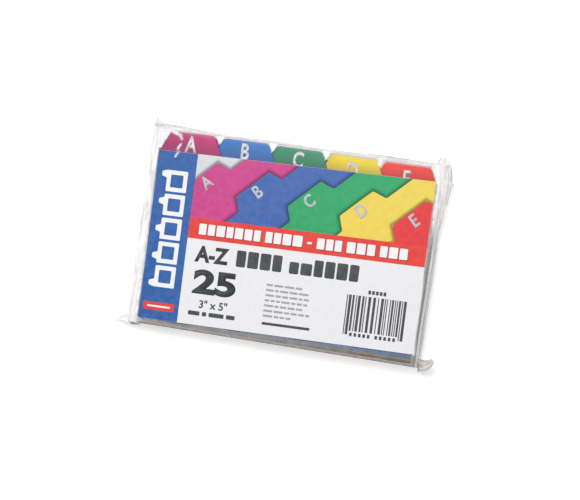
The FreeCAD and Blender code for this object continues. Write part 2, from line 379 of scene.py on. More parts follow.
def mesh_object(name, bm, material):
    """Makes a mesh object of a bmesh that is already in place."""
    mesh = bpy.data.meshes.new(name)
    bm.to_mesh(mesh)
    bm.free()
    mesh.materials.append(material)
    thing = bpy.data.objects.new(name, mesh)
    bpy.context.scene.collection.objects.link(thing)
    return thing


def finish_piece(name, bm, material, body):
    """Makes a piece and hangs it on its body."""
    piece = mesh_object(name, bm, material)
    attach(piece, body)
    return piece


def extent(bm, axis):
    """The least and the greatest place of a bmesh along an axis."""
    places = [vertex.co[axis] for vertex in bm.verts]
    return min(places), max(places)


def sheet_axes(node):
    """The place of a flat sheet: the middle of its foot on its top face, and its directions along and up."""
    corners = [vertex.co for vertex in frame["nodes"][node].data.vertices]
    top = max(corner.z for corner in corners)
    left = min((corner for corner in corners if corner.x < 0), key=lambda corner: corner.y)
    right = min((corner for corner in corners if corner.x > 0), key=lambda corner: corner.y)
    along = Vector((right.x - left.x, right.y - left.y, 0.0)).normalized()
    up = Vector((-along.y, along.x, 0.0))
    middle = (left + right) / 2
    return Vector((middle.x, middle.y, top)), along, up


def axes_matrix(origin, along, up):
    """The matrix that puts a sheet's own x and y along these directions."""
    turned = Matrix((along, up, along.cross(up))).transposed().to_4x4()
    turned.translation = origin
    return turned


def label_matrix():
    """The place of the label's head, left corner with its directions, and its width and height."""
    foot, along, up = sheet_axes("label_card")
    corners = [vertex.co - foot for vertex in frame["nodes"]["label_card"].data.vertices]
    reach = [corner.dot(along) for corner in corners]
    height = max(corner.dot(up) for corner in corners)
    corner = foot + along * min(reach) + up * height
    return axes_matrix(corner, along, up), max(reach) - min(reach), height


def add_outline(bm, points, radius=0.0):
    """A flat face from an outline in metres, with its corners rounded."""
    corners = [bm.verts.new((x, y, 0.0)) for x, y in points]
    face = bm.faces.new(corners)
    face.normal_update()
    if radius > 0.0:
        bmesh.ops.bevel(
            bm,
            geom=corners,
            offset=radius,
            offset_type="OFFSET",
            affect="VERTICES",
            segments=4,
            profile=0.5,
            material=-1,
        )
    return face


def rectangle(left, top, right, foot):
    """An outline in millimetres from the label's head, left corner: right of it and below it."""
    return [(left * MM, -foot * MM), (right * MM, -foot * MM), (right * MM, -top * MM), (left * MM, -top * MM)]


def cut_to(bm, left, top, right, foot):
    """Cuts a flat mesh to a rectangle in metres, measured as rectangle() does."""
    planes = (
        ((left, 0, 0), (-1, 0, 0)),
        ((right, 0, 0), (1, 0, 0)),
        ((0, -top, 0), (0, 1, 0)),
        ((0, -foot, 0), (0, -1, 0)),
    )
    for place, outward in planes:
        geometry = bm.verts[:] + bm.edges[:] + bm.faces[:]
        bmesh.ops.bisect_plane(bm, geom=geometry, dist=1e-9, plane_co=place, plane_no=outward, clear_outer=True)


def thicken(bm, foot, head):
    """Turns flat faces into closed slabs between two levels."""
    bm.normal_update()
    bmesh.ops.reverse_faces(bm, faces=[face for face in bm.faces if face.normal.z < 0.0])
    bmesh.ops.translate(bm, verts=bm.verts[:], vec=(0, 0, foot))
    grown = bmesh.ops.extrude_face_region(bm, geom=bm.faces[:])["geom"]
    lifted = [item for item in grown if isinstance(item, bmesh.types.BMVert)]
    bmesh.ops.translate(bm, verts=lifted, vec=(0, 0, head - foot))


def print_piece(name, bm, material, level):
    """A printed layer: a slab sunk in the board whose top stands some steps above it."""
    thicken(bm, -INK_ROOT, level * INK_STEP)
    bmesh.ops.transform(bm, matrix=label_matrix()[0], verts=bm.verts[:])
    finish_piece(name, bm, material, "label_card")


def print_outlines(name, outlines, radius, material, level):
    """A printed layer of several outlines."""
    bm = bmesh.new()
    for points in outlines:
        add_outline(bm, points, radius * MM)
    print_piece(name, bm, material, level)


def flat_text(text, height, weight):
    """A bmesh of flat text in the plain font, with strokes made bolder by a weight in metres at its final height."""
    curve = bpy.data.curves.new("capital", "FONT")
    curve.body = text
    curve.align_x = "CENTER"
    curve.fill_mode = "FRONT"
    probe = bpy.data.objects.new("capital", curve)
    bpy.context.scene.collection.objects.link(probe)
    bpy.context.view_layer.update()
    curve.offset = weight / height * probe.dimensions.y / 2
    bpy.context.view_layer.update()
    mesh = bpy.data.meshes.new_from_object(probe.evaluated_get(bpy.context.evaluated_depsgraph_get()))
    bpy.data.objects.remove(probe)
    bm = bmesh.new()
    bm.from_mesh(mesh)
    bpy.data.meshes.remove(mesh)
    return bm


def flat_capital(text, height, weight):
    """Flat text. The plain font's M runs into itself, so a W that is turned half round stands for it."""
    if not text.startswith("M"):
        return flat_text(text, height, weight)
    bm = flat_text("W", height, weight)
    bmesh.ops.rotate(bm, verts=bm.verts[:], matrix=Matrix.Rotation(math.pi, 3, "Z"))
    for letter in text[1:]:
        small = flat_text(letter, height, weight)
        side = extent(bm, 0)[1] - extent(small, 0)[0] + 0.05
        foot = extent(bm, 1)[0] - extent(small, 1)[0]
        bmesh.ops.translate(small, verts=small.verts[:], vec=(side, foot, 0.0))
        mesh = bpy.data.meshes.new("letter")
        small.to_mesh(mesh)
        small.free()
        bm.from_mesh(mesh)
        bpy.data.meshes.remove(mesh)
    return bm


def join_flat(bm, near):
    """Merges a flat mesh's near points and joins its faces, and tells whether its outline is clean."""
    bmesh.ops.remove_doubles(bm, verts=bm.verts[:], dist=near)
    for _ in range(3):
        empty = [face for face in bm.faces if face.calc_area() < 1e-13]
        longest = dict.fromkeys(max(face.edges, key=lambda edge: edge.calc_length()) for face in empty)
        bmesh.ops.dissolve_edges(bm, edges=list(longest))
    bmesh.ops.dissolve_limit(bm, angle_limit=0.02, verts=bm.verts[:], edges=bm.edges[:])
    rims = [sum(edge.is_boundary for edge in vertex.link_edges) for vertex in bm.verts]
    folded = [edge for edge in bm.edges if not edge.is_boundary and not edge.is_contiguous]
    return not folded and all(rim in (0, 2) for rim in rims)


def capital(text, height, narrowing, weight):
    """Flat bold text centred on the origin. It gets thinner strokes where bolder ones would run into each other."""
    for thinner in range(12):
        bm = flat_capital(text, height, weight * (1.0 - 0.06 * thinner))
        left, right = extent(bm, 0)
        foot, head = extent(bm, 1)
        middle = Vector(((left + right) / 2, (foot + head) / 2, 0.0))
        scale = height / (head - foot)
        bmesh.ops.translate(bm, verts=bm.verts[:], vec=-middle)
        bmesh.ops.scale(bm, verts=bm.verts[:], vec=(scale * narrowing, scale, 1.0))
        if join_flat(bm, height * 0.002):
            return bm
        bm.free()
    raise RuntimeError("the outline of " + text + " is not clean")


# ---------------------------------------------------------------- guides


class GUIDEPACK_OT_guides(bpy.types.Operator):
    """Give the twenty-five guides their coloured polypropylene"""

    bl_idname = "guidepack.guides"
    bl_label = "Colour the Guides"

    def execute(self, context):
        guides = settings("guides")
        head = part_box("guide_a")[1].y
        for column, name in enumerate(COLOUR_NAMES):
            material = poly_material("poly_" + name, getattr(guides, name), head)
            for division in DIVISIONS[column::TABS_ACROSS]:
                mesh = frame["nodes"]["guide_" + division].data
                mesh.materials.clear()
                mesh.materials.append(material)
        return {"FINISHED"}


class GUIDEPACK_OT_letters(bpy.types.Operator):
    """Stamp each tab's foil letter"""

    bl_idname = "guidepack.letters"
    bl_label = "Stamp the Letters"

    def execute(self, context):
        guides = settings("guides")
        foil = foil_material()
        for division in DIVISIONS:
            node = "guide_" + division
            foot, along, up = sheet_axes(node)
            corners = [vertex.co - foot for vertex in frame["nodes"][node].data.vertices]
            head = max(corner.dot(up) for corner in corners)
            tops = [corner.dot(along) for corner in corners if corner.dot(up) > head - 0.01 * MM]
            middle = (min(tops) + max(tops)) / 2
            text = division.upper() if division != "mc" else "Mc"
            bm = capital(text, guides.letter_height, guides.letter_narrowing, guides.letter_weight)
            thicken(bm, -guides.foil_thickness, guides.foil_thickness)
            column = DIVISIONS.index(division) % TABS_ACROSS
            drop = guides.letter_drop + (guides.letter_sink if column > 2 else 0.0)
            place = foot + along * middle + up * (head - drop - guides.letter_height / 2)
            bmesh.ops.transform(bm, matrix=axes_matrix(place, along, up), verts=bm.verts[:])
            finish_piece("letter_" + division, bm, foil, node)
        return {"FINISHED"}


# ---------------------------------------------------------------- label


PANEL_LEVEL, ART_LEVEL, SIGN_LEVEL = 1, 2, 8


class GUIDEPACK_OT_label_panels(bpy.types.Operator):
    """Print the label's blue side panel and red band"""

    bl_idname = "guidepack.label_panels"
    bl_label = "Print the Panels"

    def execute(self, context):
        label = settings("label")
        width, height = (size / MM for size in label_matrix()[1:])
        side, art, band = (size / MM for size in (label.side_panel, label.art_foot, label.band_foot))
        mesh = frame["nodes"]["label_card"].data
        mesh.materials.clear()
        mesh.materials.append(board_material())
        edge = 0.05
        print_outlines(
            "print_side_panel",
            [rectangle(edge, edge, side, height - edge)],
            0,
            ink_material("ink_panel_blue", label.panel_blue),
            PANEL_LEVEL,
        )
        print_outlines(
            "print_band",
            [rectangle(side, art, width - edge, band)],
            0,
            ink_material("ink_band_red", label.band_red),
            SIGN_LEVEL - 1,
        )
        return {"FINISHED"}


# Millimetres. The pictured guides: their tab's top and height, how far their bodies reach, and the first one's
# place, right of and below the label's head, left corner.
ART_TAB_TOP, ART_TAB_RISE, ART_REACH = 18.5, 6.2, 60.0
ART_FIRST = (14.4, 15.6)


def pictured_outline(place):
    """A pictured guide about the left corner of its tab's top, in metres in the label's own frame."""
    run = ART_TAB_RISE * TAB_SLOPE
    corners = (
        (0, 0),
        (-run, -ART_TAB_RISE),
        (-ART_REACH, -ART_TAB_RISE),
        (-ART_REACH, -ART_REACH),
        (ART_REACH, -ART_REACH),
        (ART_REACH, -ART_TAB_RISE),
        (ART_TAB_TOP + run, -ART_TAB_RISE),
        (ART_TAB_TOP, 0),
    )
    turned = Matrix.Rotation(settings("label").art_turn, 2)
    return [Vector(place) + turned @ Vector((x * MM, y * MM)) for x, y in corners]


class GUIDEPACK_OT_label_picture(bpy.types.Operator):
    """Print the picture of five overlapping guides with their letters and soft shadows"""

    bl_idname = "guidepack.label_picture"
    bl_label = "Print the Picture"

    def execute(self, context):
        label = settings("label")
        width = label_matrix()[1]
        window = (label.side_panel, 0.05 * MM, width - 0.05 * MM, label.art_foot)
        print_outlines(
            "print_picture_backing",
            [rectangle(*(side / MM for side in window))],
            0,
            ink_material("ink_backing", label.art_back),
            ART_LEVEL - 1,
        )
        grey = ink_material("ink_letter_grey", (0.58, 0.60, 0.64))
        under = label.art_back
        for index, name in enumerate(COLOUR_NAMES):
            place = (
                ART_FIRST[0] * MM + index * label.art_step,
                -ART_FIRST[1] * MM - index * label.art_drop,
            )
            base = getattr(label, "art_" + name)
            self.print_shadow(name, place, window, under, ART_LEVEL + index - 0.5)
            bm = bmesh.new()
            add_outline(bm, pictured_outline(place), 0.9 * MM)
            cut_to(bm, *window)
            print_piece("print_picture_" + name, bm, ink_material("ink_picture_" + name, base), ART_LEVEL + index)
            self.print_letter(DIVISIONS[index].upper(), place, window, grey)
            under = base
        return {"FINISHED"}

    def print_shadow(self, name, place, window, under, level):
        """The soft shadow around one pictured guide, as a printed fade."""
        label = settings("label")
        bm = bmesh.new()
        fade = bm.verts.layers.float.new("fade")
        middle = add_outline(bm, pictured_outline(place))
        bmesh.ops.inset_individual(bm, faces=[middle], thickness=-label.art_shadow, use_even_offset=True)
        rim = set(middle.verts)
        for vertex in bm.verts:
            vertex[fade] = 0.0 if vertex in rim else 1.0
        bmesh.ops.delete(bm, geom=[middle], context="FACES_ONLY")
        cut_to(bm, *window)
        print_piece("print_shadow_" + name, bm, shadow_ink_material("ink_shadow_" + name, under), level)

    def print_letter(self, text, place, window, ink):
        """A pictured tab's letter."""
        turned = settings("label").art_turn
        bm = capital(text, 6.0 * MM, 0.82, 0.5 * MM)
        centre = Vector(place) + Matrix.Rotation(turned, 2) @ Vector((ART_TAB_TOP / 2 * MM, -3.9 * MM))
        matrix = Matrix.Translation((*centre, 0.0)) @ Matrix.Rotation(turned, 4, "Z")
        bmesh.ops.transform(bm, matrix=matrix, verts=bm.verts[:])
        cut_to(bm, *window)
        print_piece("print_picture_letter_" + text.lower(), bm, ink, SIGN_LEVEL - 1)


CARD_RISE = 0.2


def card_sign(width, height, tab_at):
    """The outline of one plain tabbed card, right of and below its head, left corner."""
    tab, rise = width * 0.36, height * CARD_RISE
    start = (width - tab) * tab_at
    return [
        (0, height),
        (width, height),
        (width, rise),
        (start + tab, rise),
        (start + tab - rise * 0.3, 0),
        (start + rise * 0.3, 0),
        (start, rise),
        (0, rise),
    ]


def from_head(points):
    """Points in millimetres below the label's head, as metres above it, without repeats."""
    placed = [(x * MM, -y * MM) for x, y in points]
    return [point for point, last in zip(placed, placed[-1:] + placed) if math.dist(point, last) > 0.05 * MM]


def blocks(left, head, foot, widths, gap, rng, low_share):
    """A row of rounded blocks that stands for a word: plain blocks of two heights."""
    outlines = []
    x = left
    for width in widths:
        top = head if rng.random() > low_share else head + (foot - head) * 0.28
        outlines.append(rectangle(x, top, x + width, foot))
        x += width + gap
    return outlines, x


class GUIDEPACK_OT_label_signs(bpy.types.Operator):
    """Print the plain signs and blocks that stand where a real label has its words"""

    bl_idname = "guidepack.label_signs"
    bl_label = "Print the Signs"

    def execute(self, context):
        label = settings("label")
        rng = random.Random(7)
        white = ink_material("ink_white", (0.88, 0.88, 0.89))
        red = ink_material("ink_badge_red", label.band_red)
        dark = ink_material("ink_charcoal", label.charcoal)
        grey = ink_material("ink_small_grey", label.small_grey)
        shade = ink_material("ink_band_shade", darker(label.band_red, 0.22))
        self.side_signs(white, red)
        self.band_blocks(rng, white, shade)
        self.title_blocks(rng, dark)
        self.small_print(rng, grey, dark)
        return {"FINISHED"}

    def side_signs(self, white, red):
        """A column of outlined tabbed cards up the side panel, and a plain red bar below it."""
        blue = ink_material("ink_sign_blue", settings("label").panel_blue)
        count, left, top, pitch, wide, tall, stroke = 5, 2.9, 8.6, 10.8, 9.6, 12.0, 1.9
        cards, panes = [], []
        for index in range(count):
            foot = top + index * pitch + wide
            card = card_sign(wide, tall, 1.0 - index / (count - 1))
            cards.append(from_head([(left + y, foot - x) for x, y in card]))
            pane_left = left + tall * CARD_RISE + stroke
            panes.append(rectangle(pane_left, foot - wide + stroke, left + tall - stroke, foot - stroke))
        print_outlines("print_side_signs", cards, 0.5, white, SIGN_LEVEL)
        print_outlines("print_side_panes", panes, 0.5, blue, SIGN_LEVEL + 1)
        print_outlines("print_badge", [rectangle(1.8, 68.4, 16.2, 72.0)], 0.5, red, SIGN_LEVEL)
        print_outlines("print_badge_line", [rectangle(3.6, 69.8, 14.4, 70.6)], 0.3, white, SIGN_LEVEL + 1)

    def band_blocks(self, rng, white, shade):
        """White blocks with a dark edge along the band."""
        outlines, x = [], 23.2
        for letters in (7, 4, 1, 3, 3, 3):
            narrow = letters == 1
            widths = [2.2 if narrow else rng.uniform(3.0, 4.4) for _ in range(letters)]
            head, foot = (33.0, 34.0) if narrow else (30.8, 35.7)
            row, x = blocks(x, head, foot, widths, 0.75, rng, 0.0)
            outlines += row
            x += 1.5
        print_outlines("print_band_blocks", outlines, 0.4, white, SIGN_LEVEL + 1)
        offset = 0.3 * MM
        lower = [[(px + offset, py - offset) for px, py in points] for points in outlines]
        print_outlines("print_band_block_shades", lower, 0.4, shade, SIGN_LEVEL)

    def title_blocks(self, rng, dark):
        """The range and the count in plain capitals and numerals, and blocks for the title's two words."""
        outlines, x = [], 42.0
        for letters in (4, 6):
            widths = [rng.uniform(4.0, 5.2) for _ in range(letters)]
            row, x = blocks(x, 40.6, 48.0, widths, 0.85, rng, 0.5)
            outlines += row
            x += 2.6
        print_outlines("print_title_blocks", outlines, 0.7, dark, SIGN_LEVEL)
        self.print_text("print_range", "A-Z", (30.6, 44.3), 7.4, 0.92, 0.9, dark)
        self.print_text("print_count", "25", (33.4, 56.7), 11.2, 1.42, 1.5, dark)
        self.print_text("print_size", '3" x 5"', (34.0, 66.6), 3.7, 1.0, 0.4, dark)
        row = blocks(22.9, 70.0, 71.9, (5.4, 2.0, 7.0, 4.0), 1.1, rng, 0.0)[0]
        print_outlines("print_size_blocks", row, 0.45, dark, SIGN_LEVEL)

    def print_text(self, name, text, middle, height, narrowing, weight, ink):
        """Plain capitals or numerals about a middle in millimetres below the label's head."""
        bm = capital(text, height * MM, narrowing, weight * MM)
        bmesh.ops.translate(bm, verts=bm.verts[:], vec=(middle[0] * MM, -middle[1] * MM, 0.0))
        print_piece(name, bm, ink, SIGN_LEVEL)

    def small_print(self, rng, grey, dark):
        """Short grey lines, one dark line, and a plain pattern of bars."""
        lines, left, head, pitch, tall = [], 57.2, 53.7, 2.3, 0.95
        for row, width in enumerate((17.0, 19.5, 20.0, 19.5, 17.5, 21.0, 13.0)):
            x, top, right = left, head + row * pitch, left + width
            while x < right - 1.0:
                word = min(rng.uniform(1.6, 4.6), right - x)
                lines.append(rectangle(x, top, x + word, top + tall))
                x += word + 0.6
        print_outlines("print_small_lines", lines, 0.2, grey, SIGN_LEVEL)
        print_outlines("print_address_line", [rectangle(left, 70.8, 79.0, 72.0)], 0.3, dark, SIGN_LEVEL)
        bars, start, end, bar_foot, guard_foot = [], 94.0, 120.4, 69.6, 71.3
        x = start
        while x < end:
            bar = rng.choice((0.45, 0.45, 0.9, 1.2))
            guard = x < start + 2.0 or x > end - 2.4 or abs(x - (start + end) / 2) < 0.6
            bars.append(rectangle(x, head, x + bar, guard_foot if guard else bar_foot))
            x += bar + rng.choice((0.45, 0.45, 0.7, 0.95))
        print_outlines("print_bars", bars, 0.0, dark, SIGN_LEVEL)
        ticks = blocks(103.2, 50.9, 52.6, [1.25] * 5, 0.45, rng, 0.0)[0]
        for tick_left in (97.0, 108.4):
            ticks += blocks(tick_left, 70.3, 71.9, [1.2] * 5, 0.8, rng, 0.0)[0]
        print_outlines("print_bar_ticks", ticks, 0.25, dark, SIGN_LEVEL)


# ---------------------------------------------------------------- film

# Millimetres. How far the film's shoulders and its outer edge reach on each side, at places along that side.
LEFT_SHOULDER = ((-40, 66.6), (-20, 66.8), (20, 66.8), (40, 66.9), (46, 66.2), (50, 64.6))
RIGHT_SHOULDER = ((-40, 64.95), (10, 64.95), (24, 64.5), (38, 63.9), (50, 63.4))
HEAD_SHOULDER = ((-66, 48.9), (0, 49.0), (40, 49.2), (66, 49.6))
FOOT_SHOULDER = ((-66, 39.55), (66, 39.55))
LEFT_EDGE = (
    *((-40, 68.2), (-36, 68.5), (-26, 69.4), (-3, 69.2), (22, 68.8)),
    *((33, 69.5), (41.5, 71.2), (47, 70.6), (52, 70.0)),
)
RIGHT_EDGE = (
    *((-40, 65.9), (-30, 65.5), (19, 65.6), (28, 66.8), (35, 68.0)),
    *((40.6, 68.5), (41.9, 69.3), (43.2, 68.2), (52, 67.0)),
)
HEAD_EDGE = ((-70, 51.5), (-62, 51.3), (-34, 49.9), (-11, 50.3), (12, 49.9), (40, 50.7), (56, 50.3), (67, 51.3))
FOOT_EDGE = ((-68, 40.1), (-60, 39.78), (60, 39.78), (66, 39.9))

# Millimetres. The cards under the film: half their length, how far their bodies and their tabs reach towards the
# head, the middles of the notches between the tabs, and the slope of the label, which has turned a little.
CARD_END, BODY_HEAD, TAB_HEAD = 63.5, 39.6, 48.5
NOTCHES = (-36.8, -12.3, 12.3, 36.8)
LABEL_SLOPE = 0.0237


def reach(stations, place):
    """The reach in metres at a place in metres along a side, eased between its stations."""
    along = place / MM
    if along <= stations[0][0]:
        return stations[0][1] * MM
    for (start, first), (end, second) in zip(stations, stations[1:]):
        if along <= end:
            step = (along - start) / (end - start)
            return (first + (second - first) * step * step * (3 - 2 * step)) * MM
    return stations[-1][1] * MM


def swell(value, start, end):
    """Eases from 0 at start to 1 at end."""
    step = max(0.0, min(1.0, (value - start) / (end - start)))
    return step * step * (3 - 2 * step)


def long_creases(along, across, seed):
    """Creases from -1 to 1 that run along a wall, with a few short pleats across it."""
    long = noise.noise(Vector((along * 35.0, across * 2.6, seed)))
    short = noise.noise(Vector((along * 260.0, across * 1.1, seed + 9.0)))
    return 1.5 * long + 0.45 * short


def film_stations(count, wall_cells):
    """Places across the film, each with its side, how far down a wall it is and its share of the panel.

    They start on the low wall, from 2 at its edge to 0 at its shoulder, cross the panel and go out on the high wall.
    """
    wall = [1.0 + 0.5 * step for step in (2, 1)] + [1.0 - step / wall_cells for step in range(wall_cells)]
    low = [(-1, down, 0.0) for down in wall]
    panel = [(0, 0.0, step / count) for step in range(count + 1)]
    high = [(1, down, 1.0) for down in reversed(wall)]
    return low + panel + high


def wall_reach(shoulder, edge, down, fin, convex):
    """How far out a wall is when it is some way down, from 0 at its shoulder, 1 at its fin to 2 at its edge."""
    if down > 1.0:
        return edge - fin * (2.0 - down)
    bow = math.sin(down * math.pi / 2) if convex else down
    return shoulder + (edge - fin - shoulder) * bow


def wall_drop(down, convex):
    """How far down a wall is as a share of its height."""
    down = min(1.0, down)
    return 1.0 - math.cos(down * math.pi / 2) if convex else down


def bare(x, y):
    """How far a place on the film lies past the tabs and the cards' ends that hold it up."""
    ends = max(x - 63.7 * MM, -x - 63.4 * MM - LABEL_SLOPE * y)
    slopes = abs(x) - CARD_END * MM + max(0.0, y - BODY_HEAD * MM) * TAB_SLOPE
    notch = min(abs(x - centre * MM) for centre in NOTCHES)
    tops = max(y - TAB_HEAD * MM, (y - 44.2 * MM) * TAB_SLOPE - notch)
    return max(ends, slopes if y > BODY_HEAD * MM else ends, tops)


# Millimetres. Each streak of glare on the front film: its two ends and its half width.
GLARE = (
    (-59.4, 48.2, -55.2, 46.6, 0.5),
    (-54.9, 45.9, -54.4, 45.0, 0.32),
    (-54.7, 42.6, -55.7, 40.5, 0.36),
    (-55.1, 39.3, -56.2, 37.0, 0.3),
)


def glare(x, y):
    """How white the film is where it catches the light over the first tab."""
    marks = 0.0
    for start_x, start_y, end_x, end_y, wide in GLARE:
        start = Vector((start_x, start_y)) * MM
        way = Vector((end_x, end_y)) * MM - start
        away = Vector((x, y)) - start
        along = max(0.0, min(1.0, away.dot(way) / way.length_squared))
        marks += math.exp(-(((away - way * along).length / (wide * MM)) ** 2))
    return min(1.0, marks)


def panel_haze(x, y):
    """How milky the front panel is, and how grey with painted shade: a painted shadow in the gap beside the label's
    right end, a painted contact shadow along the foot's edge, and painted shade over the stack's foot below the
    label.
    """
    film = settings("film")
    haze = film.clear_haze + (film.tab_haze - film.clear_haze) * swell(y, 40 * MM, 43 * MM)
    haze = max(haze, (film.left_haze if x < -63 * MM else film.gap_haze) * swell(bare(x, y), 0.0, 0.7 * MM))
    # Painted shade over the stack's foot below the label, a painted contact shadow along the foot's edge, and a
    # painted shadow beside the label's right end.
    below = -35.7 * MM + LABEL_SLOPE * x - y
    foot = film.foot_haze * (1.3 - 0.7 * x / (63.7 * MM)) * swell(below, 0.0, 0.6 * MM)
    painted_contact_shadow = swell(-y, 38.3 * MM, 38.95 * MM) * swell(x, -63.2 * MM, -61.2 * MM)
    end = 63.4 * MM - LABEL_SLOPE * (y if y > -34.2 * MM else 0.0)
    beside = swell(x - end, 0.0, 0.3 * MM) * swell(-y, -26 * MM, -10 * MM)
    grey = max(0.95 * beside, 0.95 * painted_contact_shadow, 0.6 if foot > haze else 0.0)
    return max(haze, foot, 0.95 * glare(x, y), 0.8 * beside, 0.85 * painted_contact_shadow), grey


def film_sheet(columns, rows):
    """A grid with the layers that the film's material reads, and its vertices in order, row by row."""
    bm = bmesh.new()
    haze = bm.verts.layers.float.new("haze")
    stretch = bm.verts.layers.float.new("stretch")
    lay = bm.verts.layers.float_vector.new("lay")
    bmesh.ops.create_grid(bm, x_segments=columns, y_segments=rows, size=0.5)
    ordered = sorted(bm.verts, key=lambda vertex: (round(vertex.co.y, 6), round(vertex.co.x, 6)))
    for face in bm.faces:
        face.smooth = True
    return bm, ordered, haze, stretch, lay


def add_thickness(piece, thickness):
    """Gives a sheet of film its thickness, half on each side."""
    wall = piece.modifiers.new("film_thickness", "SOLIDIFY")
    wall.thickness = thickness
    wall.offset = 0.0


def leaf_plan(column, row, spare):
    """A leaf's vertex seen from above, and how far inside its panel's nearest edge it is."""
    (side_x, down_x, share_x), (side_y, down_y, share_y) = column, row
    rough_x = (-66 + 131 * share_x) * MM
    rough_y = (-39.6 + 88.6 * share_y) * MM
    left, right = reach(LEFT_SHOULDER, rough_y) + spare, reach(RIGHT_SHOULDER, rough_y) + spare
    foot, head = reach(FOOT_SHOULDER, rough_x), reach(HEAD_SHOULDER, rough_x)
    x = -left + (left + right) * share_x
    y = -foot + (foot + head) * share_y
    if side_y < 0:
        y = -wall_reach(foot, reach(FOOT_EDGE, x), down_y, 0.05 * MM, True)
    if side_y > 0:
        y = wall_reach(head, reach(HEAD_EDGE, x), down_y, 0.5 * MM, False)
    if side_x < 0:
        x = -wall_reach(left, reach(LEFT_EDGE, y), down_x, 0.6 * MM, True)
    if side_x > 0:
        x = wall_reach(right, reach(RIGHT_EDGE, y), down_x, 0.2 * MM, True)
    return x, y, min(x + left, right - x, y + foot, head - y)


def wall_crease(y, down, side_x, side_y, on_side, creases):
    """How far a place on a wall is pushed along the wall's own axis by the wall's creases."""
    depth = settings("film").wall_ridge * math.sin(math.pi * min(1.0, max(0.0, down / 1.15)))
    if side_x > 0:
        depth *= 0.25 + 1.1 * swell(y, 12 * MM, 34 * MM)
    if not on_side:
        depth *= 0.5 if side_y > 0 else 0.15
    return (side_x if on_side else side_y) * max(-0.1, creases) * depth


def wall_look(x, y, down, side, on_side, front):
    """How milky a wall is, and how grey with painted shade: painted shade down the right wall, darkest beside the
    label and at its fin, and a painted contact shadow along the foot wall.
    """
    film = settings("film")
    low, high = (film.left_haze, film.right_haze) if on_side else (film.foot_haze, film.head_haze)
    milky = (high if side > 0 else low) * swell(down, -0.6, 0.1) + 0.3 * max(0.0, down - 1.0)
    if on_side and side > 0:
        # Painted shade: the right wall is greyed, darker at its top near the label's right end and at its fin.
        shade = (1.0 - swell(down, 0.15, 0.4)) * swell(-y, -26 * MM, -10 * MM) if front else 0.0
        return milky, 0.3 + 0.65 * shade + 0.4 * swell(down, 0.95, 1.1)
    if not on_side and side < 0:
        # Painted shade: the foot wall is greyed, with a painted contact shadow at its top and bottom.
        under = max(swell(down, 0.6, 0.95), 1.0 - swell(down, 0.05, 0.35)) if front else 0.0
        under *= swell(x, -63.2 * MM, -61.2 * MM)
        return max(milky, 0.9 * under), 0.6 + 0.35 * under
    return milky, 0.0


def build_leaf(name, node, front, material):
    """One leaf of the film as a creased thin shell that replaces its plain CAD tray."""
    film = settings("film")
    low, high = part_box(node)
    level, seam = (high.z - 0.03 * MM, low.z) if front else (low.z + 0.04 * MM, high.z)
    facing, spare = (1.0, 0.0) if front else (-1.0, 0.5 * MM)
    columns = film_stations(round(129 * MM / film.cell), film.wall_cells)
    rows = film_stations(round(88 * MM / film.cell), film.wall_cells)
    bm, ordered, haze, stretch, lay = film_sheet(len(columns) - 1, len(rows) - 1)
    for index, vertex in enumerate(ordered):
        column, row = columns[index % len(columns)], rows[index // len(columns)]
        x, y, inside = leaf_plan(column, row, spare)
        drops = wall_drop(column[1], True), wall_drop(row[1], row[0] < 0)
        on_side, down = drops[0] >= drops[1], max(column[1], row[1])
        z = level + (seam - level) * max(drops)
        along, across = (y, x) if on_side else (x, y)
        gathered = swell(x, 62.6 * MM, 64.2 * MM) * swell(y, 14 * MM, 32 * MM)
        if down > 0.0:
            side = column[0] if on_side else row[0]
            creases = long_creases(along, down, column[0] + 3.0 * row[0] + facing)
            push = wall_crease(y, down, column[0], row[0], on_side, creases)
            vertex.co = Vector((x + push, y, z)) if on_side else Vector((x, y + push, z))
            milky, tight = wall_look(x, y, down, side, on_side, front)
        else:
            lift = noise.noise(Vector((x * 160.0, y * 160.0, facing * 5.0)))
            ridge = film.ridge * math.exp(-inside / (5.0 * MM)) * max(0.0, lift)
            vertex.co = Vector((x, y, z + (ridge if front else 0.0)))
            milky, tight = panel_haze(x, y) if front else (film.clear_haze, 0.0)
        drawn = down > 0.0 or x < -64.4 * MM
        vertex[lay] = Vector((along * 0.12, across, z * 0.6)) if drawn else Vector((x * 0.4, y * 0.4, 0.0))
        vertex[haze] = max(min(1.0, milky), gathered * film.ear_haze)
        # The stretch layer carries painted shade.
        vertex[stretch] = tight * (1.0 - gathered)
    bmesh.ops.recalc_face_normals(bm, faces=bm.faces[:])
    if (max(bm.faces, key=lambda face: face.calc_area()).normal.z > 0) != front:
        bmesh.ops.reverse_faces(bm, faces=bm.faces[:])
    piece = finish_piece(name, bm, material, "wrap")
    add_thickness(piece, film.thickness)
    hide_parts(node)


class GUIDEPACK_OT_film_leaves(bpy.types.Operator):
    """Shrink the film's front and back leaves around the pack"""

    bl_idname = "guidepack.film_leaves"
    bl_label = "Shrink the Film"

    def execute(self, context):
        material = film_material("film_clear")
        build_leaf("film_front", "film_front_leaf", True, material)
        build_leaf("film_back", "film_back_leaf", False, material)
        return {"FINISHED"}


def curve_points(points, count):
    """Evenly parted points on a smooth curve through a few chosen ones in millimetres."""
    knots = [Vector(point) * MM for point in points]
    ends = [knots[0] * 2 - knots[1]] + knots + [knots[-1] * 2 - knots[-2]]
    result = []
    for index in range(count):
        position = index / (count - 1) * (len(knots) - 1)
        piece = min(int(position), len(knots) - 2)
        t = position - piece
        before, start, end, after = ends[piece : piece + 4]
        bend = start * 2 + (end - before) * t
        bend += (before * 2 - start * 5 + end * 4 - after) * t**2
        bend += (start * 3 - before - end * 3 + after) * t**3
        result.append(bend * 0.5)
    return result


